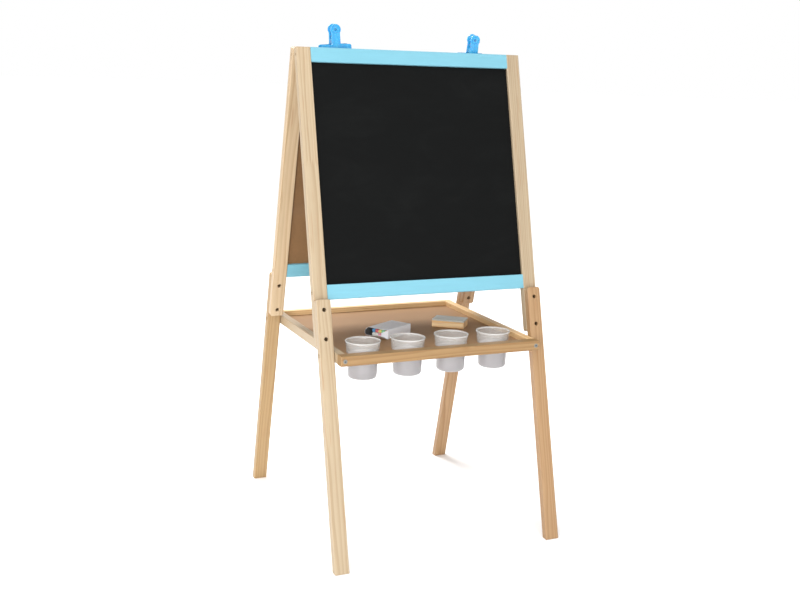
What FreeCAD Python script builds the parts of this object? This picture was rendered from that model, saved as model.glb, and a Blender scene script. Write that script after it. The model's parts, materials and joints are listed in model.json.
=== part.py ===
import FreeCAD, Part

# Child's two-sided easel with a tray, hanging cups, board clips, a box of chalk and an eraser.
#
# Millimetres and degrees. X runs across the easel, Y from the chalkboard side (-Y, the front) to the
# drawing side (+Y, the rear), and Z is up. The origin is on the floor under the middle of the easel.
#
# The two leaning frames are drawn upright, in their own axes: x across, n outward from the frame's
# inner face, and s down from its top end. lean() then puts them in place.
# side is -1 for the front frame and +1 for the rear one; hand is -1 for the left and +1 for the right.

import math
import os

from FreeCAD import Vector

FRONT, REAR = -1, 1
LEFT, RIGHT = -1, 1
SIDES = {FRONT: "front", REAR: "rear"}
HANDS = {LEFT: "left", RIGHT: "right"}
CLOSE = 0.01                 # places nearer than this are the same
OVERCUT = 1.0                # how far a cutter runs past the surface it cuts
ORIGIN = Vector(0, 0, 0)
X_AXIS = Vector(1, 0, 0)
Y_AXIS = Vector(0, 1, 0)
Z_AXIS = Vector(0, 0, 1)

# Driving dimensions of the timber frames
WIDTH = 590.0                # over the outer faces of the posts
HEIGHT = 1180.0              # floor to the top outer edge of a frame
LEAN_ANGLE = 14.2            # of each frame from the vertical
HALF_GAP = 2.5               # from the middle plane to each frame's top inner edge
TIMBER_WIDTH = 35.0          # posts, legs and rails, across the frame
TIMBER_DEPTH = 19.0          # posts, legs and rails, through the frame
EDGE_RADIUS = 2.0            # eased edges of all timber
RAIL_HEIGHT = 35.0
BOTTOM_RAIL_TOP = 558.0      # s of the bottom rail's upper edge
POST_LENGTH = 702.0
POST_CORNER = 6.0            # rounding of a post's lower corners
LEG_TOP = 592.0              # s of a leg's upper end
LEG_CORNER = 6.0             # rounding of a leg's upper corners
FOOT_RADIUS = 1.5            # eased edges where a leg is cut level with the floor

# Drawing panels
BOARD_THICKNESS = 3.0
BOARD_RECESS = 8.0           # from the frame's outer face to the panel
BOARD_BITE = 6.5             # length of panel edge held in a groove
GROOVE_PLAY = 0.2            # at each face of a panel, and 0.5 at its edge
GROOVE_DEPTH = 7.0

# Fasteners
PLAY = 0.15                  # round a screw in its pilot hole
SCREW_RADIUS = 2.0
SCREW_HEAD_RADIUS = 3.8
SCREW_HEAD_HEIGHT = 2.5
SLOT_DEPTH = 1.2             # cross slot in a screw's head
SLOT_LENGTH = 4.4
SLOT_WIDTH = 1.0
SCREW_LENGTH = 56.0
SCREW_SINK = 6.0             # depth of the counterbore in a post's side
SCREW_SINK_RADIUS = 4.2
BOLT_RADIUS = 3.0
BOLT_HOLE_RADIUS = 3.3
BOLT_HEAD_RADIUS = 4.2
BOLT_HEAD_HEIGHT = 3.5
BOLT_HEAD_ROUNDING = 1.0
BOLT_SOCKET_DEPTH = 2.0
BOLT_SINK_RADIUS = 5.0
BOLT_SINK = 8.5              # from the surface to the underside of a head or the top of a nut
HEX_ACROSS_CORNERS = 4.6
LEG_BOLTS = (616.0, 684.0)   # s of the two bolts of each leg
LEG_BOLT_TIP = 4.6           # n of a leg bolt's tip, just through its nut

# Tray
TRAY_TOP = 491.0
TRAY_RAIL_HEIGHT = 24.0
TRAY_HALF_DEPTH = 259.0      # middle plane to the front or back face
TRAY_FRONT_THICKNESS = 25.0
TRAY_RAIL_THICKNESS = 20.0   # side rails and back rail
TRAY_SIDE_PLAY = 0.8         # between a side rail and a leg
FLOOR_TOP = 478.0
TRAY_BOLT_Z = 483.0
FRONT_BOLT_SHORT = 8.0       # a front tray bolt ends this far short of the tray's inside
REAR_BOLT_SHORT = 0.5        # and a rear one this far short of its leg's inner face
RUNNING_PLAY = 0.07          # round the bolts that the tray turns on, and round hinge pins
INSERT_RADIUS = 4.5
INSERT_LENGTH = 11.0
CAP_SCREW_LENGTH = 42.0
CAP_SCREW_RADIUS = 2.5
CAP_SCREW_HEAD_RADIUS = 5.0
CAP_SCREW_HEAD_HEIGHT = 2.0
CAP_SCREW_SOCKET_DEPTH = 3.0

# Cups, hung by a shoulder in the tray floor
CUP_COUNT = 4
CUP_PITCH = 115.2
CUP_ROW_X = -5.0             # middle of the row of cups
CUP_Y = -184.0
CUP_TOP = 507.0
CUP_BOTTOM = 416.7
CUP_RIM_RADIUS = 42.5
CUP_RIM_HEIGHT = 3.0
CUP_COLLAR_TOP_RADIUS = 41.2
CUP_COLLAR_FOOT_RADIUS = 39.3
CUP_BODY_TOP_RADIUS = 36.5
CUP_BODY_FOOT_RADIUS = 34.6
CUP_CORNER = 8.0
CUP_WALL = 1.3
CUP_RIM_ROUNDING = 1.0
CUP_STEP_ROUNDING = 0.6
CUP_HOLE_RADIUS = 37.5

# Hinges between the two top rails
HINGE_X = 110.0
HINGE_LENGTH = 50.0
HINGE_DROP = 2.0             # pin axis below the frames' top inner edges
KNUCKLE_RADIUS = 2.6
HINGE_PIN_RADIUS = 1.2
HINGE_PIN_HEAD_RADIUS = 2.0
HINGE_PIN_HEAD = 0.8
LEAF_THICKNESS = 1.4
LEAF_HEIGHT = 26.0
KNUCKLE_PLAY = 0.3
HINGE_SCREW_HEAD_RADIUS = 3.0
HINGE_SCREW_RADIUS = 1.5
HINGE_SCREW_LENGTH = 14.0
HINGE_SCREW_SPREAD = 18.0    # from the middle screw of a leaf to the outer ones
HINGE_SCREW_DROPS = (11.0, 19.0)        # s of the outer screws and of the middle one

# Board clips on the rear top rail
CLIP_X = {LEFT: -187.0, RIGHT: 179.0}
CLIP_RISE = {LEFT: 3.6, RIGHT: -6.9}    # the left clip bites only the rail's top edge
CLIP_LEAN = {LEFT: 0.0, RIGHT: 8.0}     # from the vertical, towards the front
CLIP_ROLL = {LEFT: -4.8, RIGHT: 0.0}    # the right end of the left clip is a little higher
CLIP_OPENING = {LEFT: 7.0, RIGHT: 4.8}  # turn of the rear half, so that the jaws take the rail
JAW_WIDTH = 75.0
JAW_FOOT = -11.0             # height of the jaw's lower edge over the rail's top
JAW_TOP = 9.0
JAW_CORNER = 5.0
JAW_FOOT_CORNER = 2.0
CLIP_THICKNESS = 2.5
CLIP_PLAY = 0.3              # between a jaw and the rail
NECK_WIDTH = 21.0
RING_RADIUS = 13.0
RING_HEIGHT = 43.5           # ring centre over the rail's top
RING_HOLE_RADIUS = 4.0
RING_GROOVE_RADII = (10.0, 7.0)
RING_GROOVE_DEPTH = 0.8
CLIP_EDGE = 0.8              # eased outer edges
RIB_DEPTH = 3.5
RIB_DROP = 8.0               # from the pin down to the foot of the ribs and lugs
CLIP_PIN_HEIGHT = 17.0
CLIP_PIN_RADIUS = 1.5
CLIP_PIN_END = 0.6           # standing out at each side
LUG_RADIUS = 4.0
LUG_THICKNESS = 2.5
LUG_GAP = 0.5                # between the lugs of the two halves
LUG_ROOT = 0.5               # depth of a lug or rib inside its plate
NECK_FILLET = 4.0
SPRING_TURNS = 4
SPRING_PITCH = 1.5
SPRING_RADIUS = 3.0          # to the middle of the wire
SPRING_WIRE = 0.55
SPRING_ARM = 7.5

# Loose things on the tray
ERASER_SIZE = (85.0, 50.0, 21.0)
ERASER_FELT = 4.0
ERASER_EDGE = 1.5
ERASER_PLACE = (140.0, 4.0, -39.2)      # x, y and turn about Z
CHALK_RADIUS = 4.7
CHALK_LENGTH = 80.0
CHALK_COLUMNS = 5
CHALK_ROWS = 2
CHALK_PITCH = 9.6
CHALK_SHIFT = 2.0            # of the rows towards the right wall of the box
CHALK_PLAY = 0.4             # under the lower layer
CHALK_INSET = 3.0            # ends of the sticks inside the box's mouth
CHALK_CHAMFER = 0.5
CARD = 0.8
BOX_SIZE = (60.0, 98.0, 23.5)
BOX_PLACE = (-47.0, -35.0, -58.0)
TUCK_FLAP = 20.0             # length of the flap that lies in front of the mouth
TUCK_FLAP_RISE = 6.0         # of its free end
TUCK_FLAP_INSET = 1.0        # at each side of the box's width
SIDE_FLAP = 18.5             # reach of the small flap across the mouth's right end
SIDE_FLAP_CUT = 9.0          # how much lower the small flap is at its free end
LEFT_FLAP = 13.0             # reach of the flap that stands open at the mouth's left
LEFT_FLAP_CUT = 5.0
FREE_COLUMNS = 3             # columns of chalk that the small flap doesn't cover

# Worked out from the above
HALF_WIDTH = WIDTH / 2
INNER_X = HALF_WIDTH - TIMBER_WIDTH
COS = math.cos(math.radians(LEAN_ANGLE))
SIN = math.sin(math.radians(LEAN_ANGLE))
INNER_TOP_Z = HEIGHT - TIMBER_DEPTH * SIN
LEG_OUTER = 2 * TIMBER_DEPTH
BOARD_OUTER = TIMBER_DEPTH - BOARD_RECESS
BOARD_INNER = BOARD_OUTER - BOARD_THICKNESS
TRAY_X = INNER_X - TRAY_SIDE_PLAY
TRAY_INNER_X = TRAY_X - TRAY_RAIL_THICKNESS
TRAY_BOTTOM = TRAY_TOP - TRAY_RAIL_HEIGHT
FLOOR_BOTTOM = FLOOR_TOP - BOARD_THICKNESS
HINGE_AXIS_Z = INNER_TOP_Z - HINGE_DROP
SCREW_HEAD_X = HALF_WIDTH - SCREW_SINK
CLIP_PIN_N = TIMBER_DEPTH / 2


def tray_bolt_y():
    """Distance of the tray bolts from the middle plane: the middle of a leg at their height."""
    leg_middle = TIMBER_DEPTH * 1.5
    s = (INNER_TOP_Z - TRAY_BOLT_Z + leg_middle * SIN) / COS
    return HALF_GAP + s * SIN + leg_middle * COS


# ---- drawing helpers -------------------------------------------------------------------------

def block(x, y, z):
    """A box between pairs of limits, given in either order."""
    low = Vector(min(x), min(y), min(z))
    return Part.makeBox(abs(x[1] - x[0]), abs(y[1] - y[0]), abs(z[1] - z[0]), low)


def about(middle, length):
    """The two ends of a stretch with a given middle."""
    return (middle - length / 2, middle + length / 2)


def rod(start, end, radius):
    """A round bar between two points."""
    along = end - start
    return Part.makeCylinder(radius, along.Length, start, along)


def rounded_wire(points, radii):
    """A closed outline through flat corner points, each corner rounded by its own radius."""
    edges = []
    count = len(points)
    starts, ends = [], []
    for i, corner in enumerate(points):
        back = (points[i - 1] - corner).normalize()
        ahead = (points[(i + 1) % count] - corner).normalize()
        if radii[i] == 0:
            starts.append(corner)
            ends.append(corner)
            continue
        half = back.getAngle(ahead) / 2
        reach = radii[i] / math.tan(half)
        middle = (back + ahead).normalize()
        centre = corner + middle * (radii[i] / math.sin(half))
        starts.append(corner + back * reach)
        ends.append(corner + ahead * reach)
        edges.append(Part.Arc(starts[i], centre - middle * radii[i], ends[i]).toShape())
    for i in range(count):
        edges.append(Part.LineSegment(ends[i], starts[(i + 1) % count]).toShape())
    return Part.Wire(Part.__sortEdges__(edges))


def plate(points, radii, depth):
    """A flat plate: an outline pushed along a vector."""
    return Part.Face(rounded_wire(points, radii)).extrude(depth)


def rectangle_xz(x, z, y):
    """Corners of an upright rectangle, from its lower left."""
    return [Vector(x[0], y, z[0]), Vector(x[1], y, z[0]), Vector(x[1], y, z[1]), Vector(x[0], y, z[1])]


def edges_where(shape, test):
    """The straight and curved edges whose sampled points all pass a test."""
    chosen = []
    for edge in shape.Edges:
        first, last = edge.ParameterRange
        samples = [edge.valueAt(first + (last - first) * t) for t in (0.0, 0.5, 1.0)]
        if all(test(point) for point in samples):
            chosen.append(edge)
    return chosen


def edges_along(shape, axis):
    """The straight edges parallel to an axis."""
    return [edge for edge in shape.Edges if abs(edge.tangentAt(edge.FirstParameter).dot(axis)) > 0.99]


def ease(shape, radius, test):
    """Round over the edges that pass a test."""
    return shape.makeFillet(radius, edges_where(shape, test))


def union(shapes):
    """One clean solid from overlapping ones."""
    joined = shapes[0]
    for shape in shapes[1:]:
        joined = joined.fuse(shape)
    return joined.removeSplitter()


def without(shape, cutters):
    """A solid with others taken away."""
    for cutter in cutters:
        shape = shape.cut(cutter)
    return shape


def turned(profile, centre):
    """A solid of revolution about the vertical through a centre, from an (r, z) outline with radii."""
    points = [Vector(radius, 0, z) for radius, z, _ in profile]
    face = Part.Face(rounded_wire(points, [corner for _, _, corner in profile]))
    solid = face.revolve(ORIGIN, Z_AXIS, 360)
    solid.translate(centre)
    return solid


def hex_socket(face, outward, depth):
    """The six-sided hole in a bolt's head, from the middle of the head's face inwards."""
    across = outward.cross(X_AXIS)
    if across.Length < CLOSE:
        across = outward.cross(Z_AXIS)
    across.normalize()
    up = outward.cross(across).normalize()
    corners = []
    for i in range(6):
        angle = math.radians(60 * i)
        spoke = across * math.cos(angle) + up * math.sin(angle)
        corners.append(face + outward * OVERCUT + spoke * (HEX_ACROSS_CORNERS / 2))
    outline = Part.makePolygon(corners + corners[:1])
    return Part.Face(outline).extrude(outward * -(depth + OVERCUT))


# ---- a frame's own upright axes --------------------------------------------------------------

def point(side, x, n, s):
    """A place in a frame's own axes, before it leans."""
    return Vector(x, side * n, -s)


def slab(side, x, n, s):
    """A box in a frame's own axes."""
    return block(x, (side * n[0], side * n[1]), (-s[0], -s[1]))


def lean(shape, side):
    """Lean an upright shape and put it in place."""
    shape.rotate(ORIGIN, X_AXIS, side * LEAN_ANGLE)
    shape.translate(Vector(0, side * HALF_GAP, INNER_TOP_Z))
    return shape


def timber(side, x, n, s, top_corner, bottom_corner):
    """An upright with eased edges, its ends' corners rounded in the plane of the frame."""
    corners = rectangle_xz((min(x), max(x)), (-s[1], -s[0]), side * n[0])
    radii = [bottom_corner, bottom_corner, top_corner, top_corner]
    body = plate(corners, radii, Y_AXIS * (side * (n[1] - n[0])))
    faces = (side * n[0], side * n[1])
    return ease(body, EDGE_RADIUS, lambda p: min(abs(p.y - face) for face in faces) < CLOSE)


def rail_screw_places():
    """Middle of each rail, as s, where a screw enters its end."""
    return (RAIL_HEIGHT / 2, BOTTOM_RAIL_TOP + RAIL_HEIGHT / 2)


# ---- the two timber frames -------------------------------------------------------------------

def post(side, hand):
    """Upper post: groove for the panel, screw holes from its side, bolt holes from its inner face."""
    x = (hand * INNER_X, hand * HALF_WIDTH)
    body = timber(side, x, (0, TIMBER_DEPTH), (0, POST_LENGTH), EDGE_RADIUS, POST_CORNER)
    groove = slab(
        side,
        (hand * (INNER_X - OVERCUT), hand * (INNER_X + GROOVE_DEPTH)),
        (BOARD_INNER - GROOVE_PLAY, BOARD_OUTER + GROOVE_PLAY),
        (RAIL_HEIGHT - GROOVE_DEPTH, BOTTOM_RAIL_TOP + GROOVE_DEPTH),
    )
    cutters = [groove]
    middle = TIMBER_DEPTH / 2
    for s in rail_screw_places():
        outside = point(side, hand * (HALF_WIDTH + OVERCUT), middle, s)
        sink = point(side, hand * SCREW_HEAD_X, middle, s)
        inside = point(side, hand * (INNER_X - OVERCUT), middle, s)
        cutters.append(rod(outside, inside, SCREW_RADIUS + PLAY))
        cutters.append(rod(outside, sink, SCREW_SINK_RADIUS))
    bolt_x = hand * (INNER_X + TIMBER_WIDTH / 2)
    for s in LEG_BOLTS:
        inner = point(side, bolt_x, -OVERCUT, s)
        cutters.append(rod(inner, point(side, bolt_x, TIMBER_DEPTH + OVERCUT, s), BOLT_HOLE_RADIUS))
        cutters.append(rod(inner, point(side, bolt_x, BOLT_SINK, s), BOLT_SINK_RADIUS))
    return lean(without(body, cutters), side)


def rail(side, top):
    """Painted rail between the posts, with the panel's groove in its inner edge."""
    bottom = top + RAIL_HEIGHT
    body = slab(side, (-INNER_X, INNER_X), (0, TIMBER_DEPTH), (top, bottom))
    body = body.makeFillet(EDGE_RADIUS, edges_along(body, X_AXIS))
    groove_s = (top - OVERCUT, top + GROOVE_DEPTH)
    if top == 0:
        groove_s = (bottom - GROOVE_DEPTH, bottom + OVERCUT)
    groove_n = (BOARD_INNER - GROOVE_PLAY, BOARD_OUTER + GROOVE_PLAY)
    cutters = [slab(side, (-INNER_X - OVERCUT, INNER_X + OVERCUT), groove_n, groove_s)]
    reach = SCREW_LENGTH - (TIMBER_WIDTH - SCREW_SINK) + OVERCUT
    for hand in HANDS:
        start = point(side, hand * (INNER_X + OVERCUT), TIMBER_DEPTH / 2, top + RAIL_HEIGHT / 2)
        end = point(side, hand * (INNER_X - reach), TIMBER_DEPTH / 2, top + RAIL_HEIGHT / 2)
        cutters.append(rod(start, end, SCREW_RADIUS + PLAY))
    return lean(without(body, cutters), side)


def board(side):
    """Panel held in the grooves of the posts and rails."""
    x = INNER_X + BOARD_BITE
    s = (RAIL_HEIGHT - BOARD_BITE, BOTTOM_RAIL_TOP + BOARD_BITE)
    return lean(slab(side, (-x, x), (BOARD_INNER, BOARD_OUTER), s), side)


def leg(side, hand):
    """Lower leg on the outer face of a post, cut level at the floor."""
    x = (hand * INNER_X, hand * HALF_WIDTH)
    past_floor = (INNER_TOP_Z + LEG_OUTER * SIN) / COS + TIMBER_DEPTH
    body = timber(side, x, (TIMBER_DEPTH, LEG_OUTER), (LEG_TOP, past_floor), LEG_CORNER, 0)
    bolt_x = hand * (INNER_X + TIMBER_WIDTH / 2)
    cutters = []
    for s in LEG_BOLTS:
        inner = point(side, bolt_x, TIMBER_DEPTH - OVERCUT, s)
        outer = point(side, bolt_x, LEG_OUTER + OVERCUT, s)
        cutters.append(rod(inner, outer, BOLT_HOLE_RADIUS))
        cutters.append(rod(point(side, bolt_x, LEG_OUTER - BOLT_SINK, s), outer, BOLT_SINK_RADIUS))
    body = lean(without(body, cutters), side)
    y = side * tray_bolt_y()
    outside = Vector(hand * (HALF_WIDTH + OVERCUT), y, TRAY_BOLT_Z)
    sink = Vector(hand * (HALF_WIDTH - BOLT_SINK), y, TRAY_BOLT_Z)
    inside = Vector(hand * (INNER_X - OVERCUT), y, TRAY_BOLT_Z)
    below_floor = block((-WIDTH, WIDTH), (-HEIGHT, HEIGHT), (-4 * TIMBER_WIDTH, 0))
    cutters = [rod(outside, inside, BOLT_HOLE_RADIUS), rod(outside, sink, BOLT_SINK_RADIUS), below_floor]
    body = without(body, cutters)
    return ease(body, FOOT_RADIUS, lambda p: abs(p.z) < CLOSE)


def rail_screws(side):
    """Screws sunk in the posts' sides, which run on into the ends of the rails."""
    screws = []
    middle = TIMBER_DEPTH / 2
    top_x = SCREW_HEAD_X + SCREW_HEAD_HEIGHT
    for hand in HANDS:
        slot_x = (hand * (top_x - SLOT_DEPTH), hand * (top_x + OVERCUT))
        for s in rail_screw_places():
            head = point(side, hand * SCREW_HEAD_X, middle, s)
            top = point(side, hand * top_x, middle, s)
            tip = point(side, hand * (SCREW_HEAD_X - SCREW_LENGTH), middle, s)
            screw = union([rod(head, top, SCREW_HEAD_RADIUS), rod(top, tip, SCREW_RADIUS)])
            cross = []
            for long_way, short_way in ((SLOT_LENGTH, SLOT_WIDTH), (SLOT_WIDTH, SLOT_LENGTH)):
                cross.append(slab(side, slot_x, about(middle, long_way), about(s, short_way)))
            screws.append(lean(without(screw, cross), side))
    return Part.makeCompound(screws)


def socket_bolt(head_base, tip):
    """A bolt with a low round head, from under its head to its tip."""
    outward = (head_base - tip).normalize()
    head_top = head_base + outward * BOLT_HEAD_HEIGHT
    body = union([rod(head_base, head_top, BOLT_HEAD_RADIUS), rod(tip, head_top, BOLT_RADIUS)])
    rim = edges_where(body, lambda p: abs((p - head_top).dot(outward)) < CLOSE)
    body = body.makeFillet(BOLT_HEAD_ROUNDING, rim)
    return body.cut(hex_socket(head_top, outward, BOLT_SOCKET_DEPTH))


def leg_bolts(side):
    """Bolts through each leg and its post, heads in the leg's outer face."""
    bolts = []
    for hand in HANDS:
        x = hand * (INNER_X + TIMBER_WIDTH / 2)
        for s in LEG_BOLTS:
            head = point(side, x, LEG_OUTER - BOLT_SINK, s)
            tip = point(side, x, LEG_BOLT_TIP, s)
            bolts.append(lean(socket_bolt(head, tip), side))
    return Part.makeCompound(bolts)


def leg_nuts(side):
    """Round nuts of the leg bolts, sunk in the posts' inner faces."""
    nuts = []
    for hand in HANDS:
        x = hand * (INNER_X + TIMBER_WIDTH / 2)
        for s in LEG_BOLTS:
            outer = point(side, x, BOLT_SINK, s)
            inner = point(side, x, BOLT_SINK - BOLT_HEAD_HEIGHT, s)
            ring = rod(inner, outer, BOLT_HEAD_RADIUS).cut(rod(inner, outer, BOLT_RADIUS + PLAY))
            nuts.append(lean(ring, side))
    return Part.makeCompound(nuts)


def tray_bolts(side, tip_x):
    """Bolts through the sides of a pair of legs; they end at tip_x."""
    bolts = []
    for hand in HANDS:
        y = side * tray_bolt_y()
        head = Vector(hand * (HALF_WIDTH - BOLT_SINK), y, TRAY_BOLT_Z)
        bolts.append(socket_bolt(head, Vector(hand * tip_x, y, TRAY_BOLT_Z)))
    return Part.makeCompound(bolts)


# ---- hinges ----------------------------------------------------------------------------------

def knuckle_spans(side, middle):
    """The stretches of knuckle, along X, that belong to one frame's leaf."""
    half = HINGE_LENGTH / 2
    third = HINGE_LENGTH / 6
    if side == REAR:
        return [(middle - third + KNUCKLE_PLAY, middle + third - KNUCKLE_PLAY)]
    return [(middle - half, middle - third), (middle + third, middle + half)]


def hinge_leaves(side):
    """A leaf of each hinge: a plate on the inner face of a top rail, curled round the pin."""
    leaves = []
    for hand in HANDS:
        middle = hand * HINGE_X
        span = about(middle, HINGE_LENGTH)
        flap = lean(slab(side, span, (-LEAF_THICKNESS, 0), (0, LEAF_HEIGHT)), side)
        gaps = [
            barrel(low - KNUCKLE_PLAY, high + KNUCKLE_PLAY, KNUCKLE_RADIUS + KNUCKLE_PLAY)
            for low, high in knuckle_spans(-side, middle)
        ]
        knuckles = [barrel(low, high, KNUCKLE_RADIUS) for low, high in knuckle_spans(side, middle)]
        leaf = union([without(flap, gaps)] + knuckles)
        bores = [barrel(span[0] - OVERCUT, span[1] + OVERCUT, HINGE_PIN_RADIUS + RUNNING_PLAY)]
        for x, s in hinge_screw_places(middle):
            start = point(side, x, -LEAF_THICKNESS - OVERCUT, s)
            hole = rod(start, point(side, x, OVERCUT, s), HINGE_SCREW_RADIUS + PLAY)
            bores.append(lean(hole, side))
            bores.append(lean(screw_cone(side, x, s, PLAY), side))
        leaves.append(without(leaf, bores))
    return Part.makeCompound(leaves)


def barrel(low, high, radius):
    """A round bar on the hinges' axis."""
    return rod(Vector(low, 0, HINGE_AXIS_Z), Vector(high, 0, HINGE_AXIS_Z), radius)


def hinge_screw_places(middle):
    """The three screws of a leaf, as x and s."""
    outer, lower = HINGE_SCREW_DROPS
    return [(middle - HINGE_SCREW_SPREAD, outer), (middle, lower), (middle + HINGE_SCREW_SPREAD, outer)]


def screw_cone(side, x, s, play):
    """The flat head of a hinge screw, or its countersink with some play."""
    top = point(side, x, -LEAF_THICKNESS, s)
    radius = HINGE_SCREW_HEAD_RADIUS + play
    return Part.makeCone(radius, HINGE_SCREW_RADIUS + play, LEAF_THICKNESS, top, Vector(0, side, 0))


def hinge_screws(side):
    """Countersunk screws of the leaves on one frame."""
    screws = []
    for hand in HANDS:
        for x, s in hinge_screw_places(hand * HINGE_X):
            start = point(side, x, -LEAF_THICKNESS / 2, s)
            shank = rod(start, point(side, x, HINGE_SCREW_LENGTH, s), HINGE_SCREW_RADIUS)
            screws.append(lean(union([screw_cone(side, x, s, 0), shank]), side))
    return Part.makeCompound(screws)


def hinge_screw_holes(side):
    """Pilot holes for them in the top rail."""
    holes = []
    for hand in HANDS:
        for x, s in hinge_screw_places(hand * HINGE_X):
            end = point(side, x, HINGE_SCREW_LENGTH + OVERCUT, s)
            hole = rod(point(side, x, -OVERCUT, s), end, HINGE_SCREW_RADIUS + PLAY)
            holes.append(lean(hole, side))
    return holes


def hinge_pins():
    """Pins of the two hinges, with a small head at each end."""
    pins = []
    for hand in HANDS:
        low, high = about(hand * HINGE_X, HINGE_LENGTH + 2 * KNUCKLE_PLAY)
        left_head = barrel(low - HINGE_PIN_HEAD, low, HINGE_PIN_HEAD_RADIUS)
        right_head = barrel(high, high + HINGE_PIN_HEAD, HINGE_PIN_HEAD_RADIUS)
        pins.append(union([barrel(low, high, HINGE_PIN_RADIUS), left_head, right_head]))
    return Part.makeCompound(pins)


# ---- tray ------------------------------------------------------------------------------------

def floor_groove(x, y):
    """The slot in the tray rails that holds the floor panel's edge."""
    return block(x, y, (FLOOR_BOTTOM - GROOVE_PLAY, FLOOR_TOP + GROOVE_PLAY))


def tray_cap_screw_holes():
    """Holes for the cap screws that hold the tray's corners."""
    holes = []
    for side in SIDES:
        for hand in HANDS:
            x = hand * (TRAY_X - TRAY_RAIL_THICKNESS / 2)
            z = TRAY_BOTTOM + TRAY_RAIL_HEIGHT / 2
            outside = Vector(x, side * (TRAY_HALF_DEPTH + OVERCUT), z)
            head = Vector(x, side * (TRAY_HALF_DEPTH - CAP_SCREW_HEAD_HEIGHT), z)
            tip = Vector(x, side * (TRAY_HALF_DEPTH - CAP_SCREW_LENGTH - OVERCUT), z)
            holes.append(rod(outside, tip, CAP_SCREW_RADIUS + PLAY))
            holes.append(rod(outside, head, CAP_SCREW_HEAD_RADIUS + PLAY))
    return holes


def tray_cap_screws():
    """Screws with wide flat heads, flush with the front and back rails."""
    screws = []
    for side in SIDES:
        for hand in HANDS:
            x = hand * (TRAY_X - TRAY_RAIL_THICKNESS / 2)
            z = TRAY_BOTTOM + TRAY_RAIL_HEIGHT / 2
            outward = Y_AXIS * side
            face = Vector(x, side * TRAY_HALF_DEPTH, z)
            head = rod(face - outward * CAP_SCREW_HEAD_HEIGHT, face, CAP_SCREW_HEAD_RADIUS)
            shank = rod(face - outward * CAP_SCREW_LENGTH, face, CAP_SCREW_RADIUS)
            screws.append(union([head, shank]).cut(hex_socket(face, outward, CAP_SCREW_SOCKET_DEPTH)))
    return Part.makeCompound(screws)


def tray_end_rail(side):
    """Front or back rail of the tray, which covers the ends of the side rails."""
    thickness = TRAY_FRONT_THICKNESS if side == FRONT else TRAY_RAIL_THICKNESS
    outer = side * TRAY_HALF_DEPTH
    inner = side * (TRAY_HALF_DEPTH - thickness)
    body = block((-TRAY_X, TRAY_X), (outer, inner), (TRAY_BOTTOM, TRAY_TOP))
    body = ease(body, EDGE_RADIUS, lambda p: abs(p.y - inner) > CLOSE)
    groove_x = TRAY_INNER_X + GROOVE_DEPTH
    groove_y = (inner - side * OVERCUT, inner + side * GROOVE_DEPTH)
    groove = floor_groove((-groove_x, groove_x), groove_y)
    return without(body, [groove] + tray_cap_screw_holes())


def tray_side_rail(hand):
    """Side rail of the tray, with the inserts' holes for the bolts through the legs."""
    y = (-(TRAY_HALF_DEPTH - TRAY_FRONT_THICKNESS), TRAY_HALF_DEPTH - TRAY_RAIL_THICKNESS)
    body = block((hand * TRAY_INNER_X, hand * TRAY_X), y, (TRAY_BOTTOM, TRAY_TOP))
    body = body.makeFillet(EDGE_RADIUS, edges_along(body, Y_AXIS))
    groove_x = (hand * (TRAY_INNER_X - OVERCUT), hand * (TRAY_INNER_X + GROOVE_DEPTH))
    groove_y = (y[0] - OVERCUT, y[1] + OVERCUT)
    cutters = [floor_groove(groove_x, groove_y)] + tray_cap_screw_holes()
    for side in SIDES:
        bolt_y = side * tray_bolt_y()
        outside = Vector(hand * (TRAY_X + OVERCUT), bolt_y, TRAY_BOLT_Z)
        insert_end = Vector(hand * (TRAY_X - INSERT_LENGTH), bolt_y, TRAY_BOLT_Z)
        inside = Vector(hand * (TRAY_INNER_X - OVERCUT), bolt_y, TRAY_BOLT_Z)
        cutters.append(rod(outside, insert_end, INSERT_RADIUS))
        cutters.append(rod(outside, inside, BOLT_HOLE_RADIUS))
    return without(body, cutters)


def tray_inserts():
    """Metal inserts in the side rails, in which the tray bolts turn."""
    inserts = []
    for side in SIDES:
        for hand in HANDS:
            bolt_y = side * tray_bolt_y()
            outer = Vector(hand * TRAY_X, bolt_y, TRAY_BOLT_Z)
            inner = Vector(hand * (TRAY_X - INSERT_LENGTH), bolt_y, TRAY_BOLT_Z)
            bore = rod(outer, inner, BOLT_RADIUS + RUNNING_PLAY)
            inserts.append(rod(outer, inner, INSERT_RADIUS).cut(bore))
    return Part.makeCompound(inserts)


def cup_places():
    """Middle of each cup, from the left."""
    first = CUP_ROW_X - CUP_PITCH * (CUP_COUNT - 1) / 2
    return [Vector(first + CUP_PITCH * i, CUP_Y, 0) for i in range(CUP_COUNT)]


def tray_floor():
    """Thin floor panel with a round hole for each cup."""
    x = TRAY_INNER_X + BOARD_BITE
    front_y = -(TRAY_HALF_DEPTH - TRAY_FRONT_THICKNESS + BOARD_BITE)
    back_y = TRAY_HALF_DEPTH - TRAY_RAIL_THICKNESS + BOARD_BITE
    panel = block((-x, x), (front_y, back_y), (FLOOR_BOTTOM, FLOOR_TOP))
    below = Z_AXIS * (FLOOR_BOTTOM - OVERCUT)
    above = Z_AXIS * (FLOOR_TOP + OVERCUT)
    return without(panel, [rod(place + below, place + above, CUP_HOLE_RADIUS) for place in cup_places()])


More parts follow.
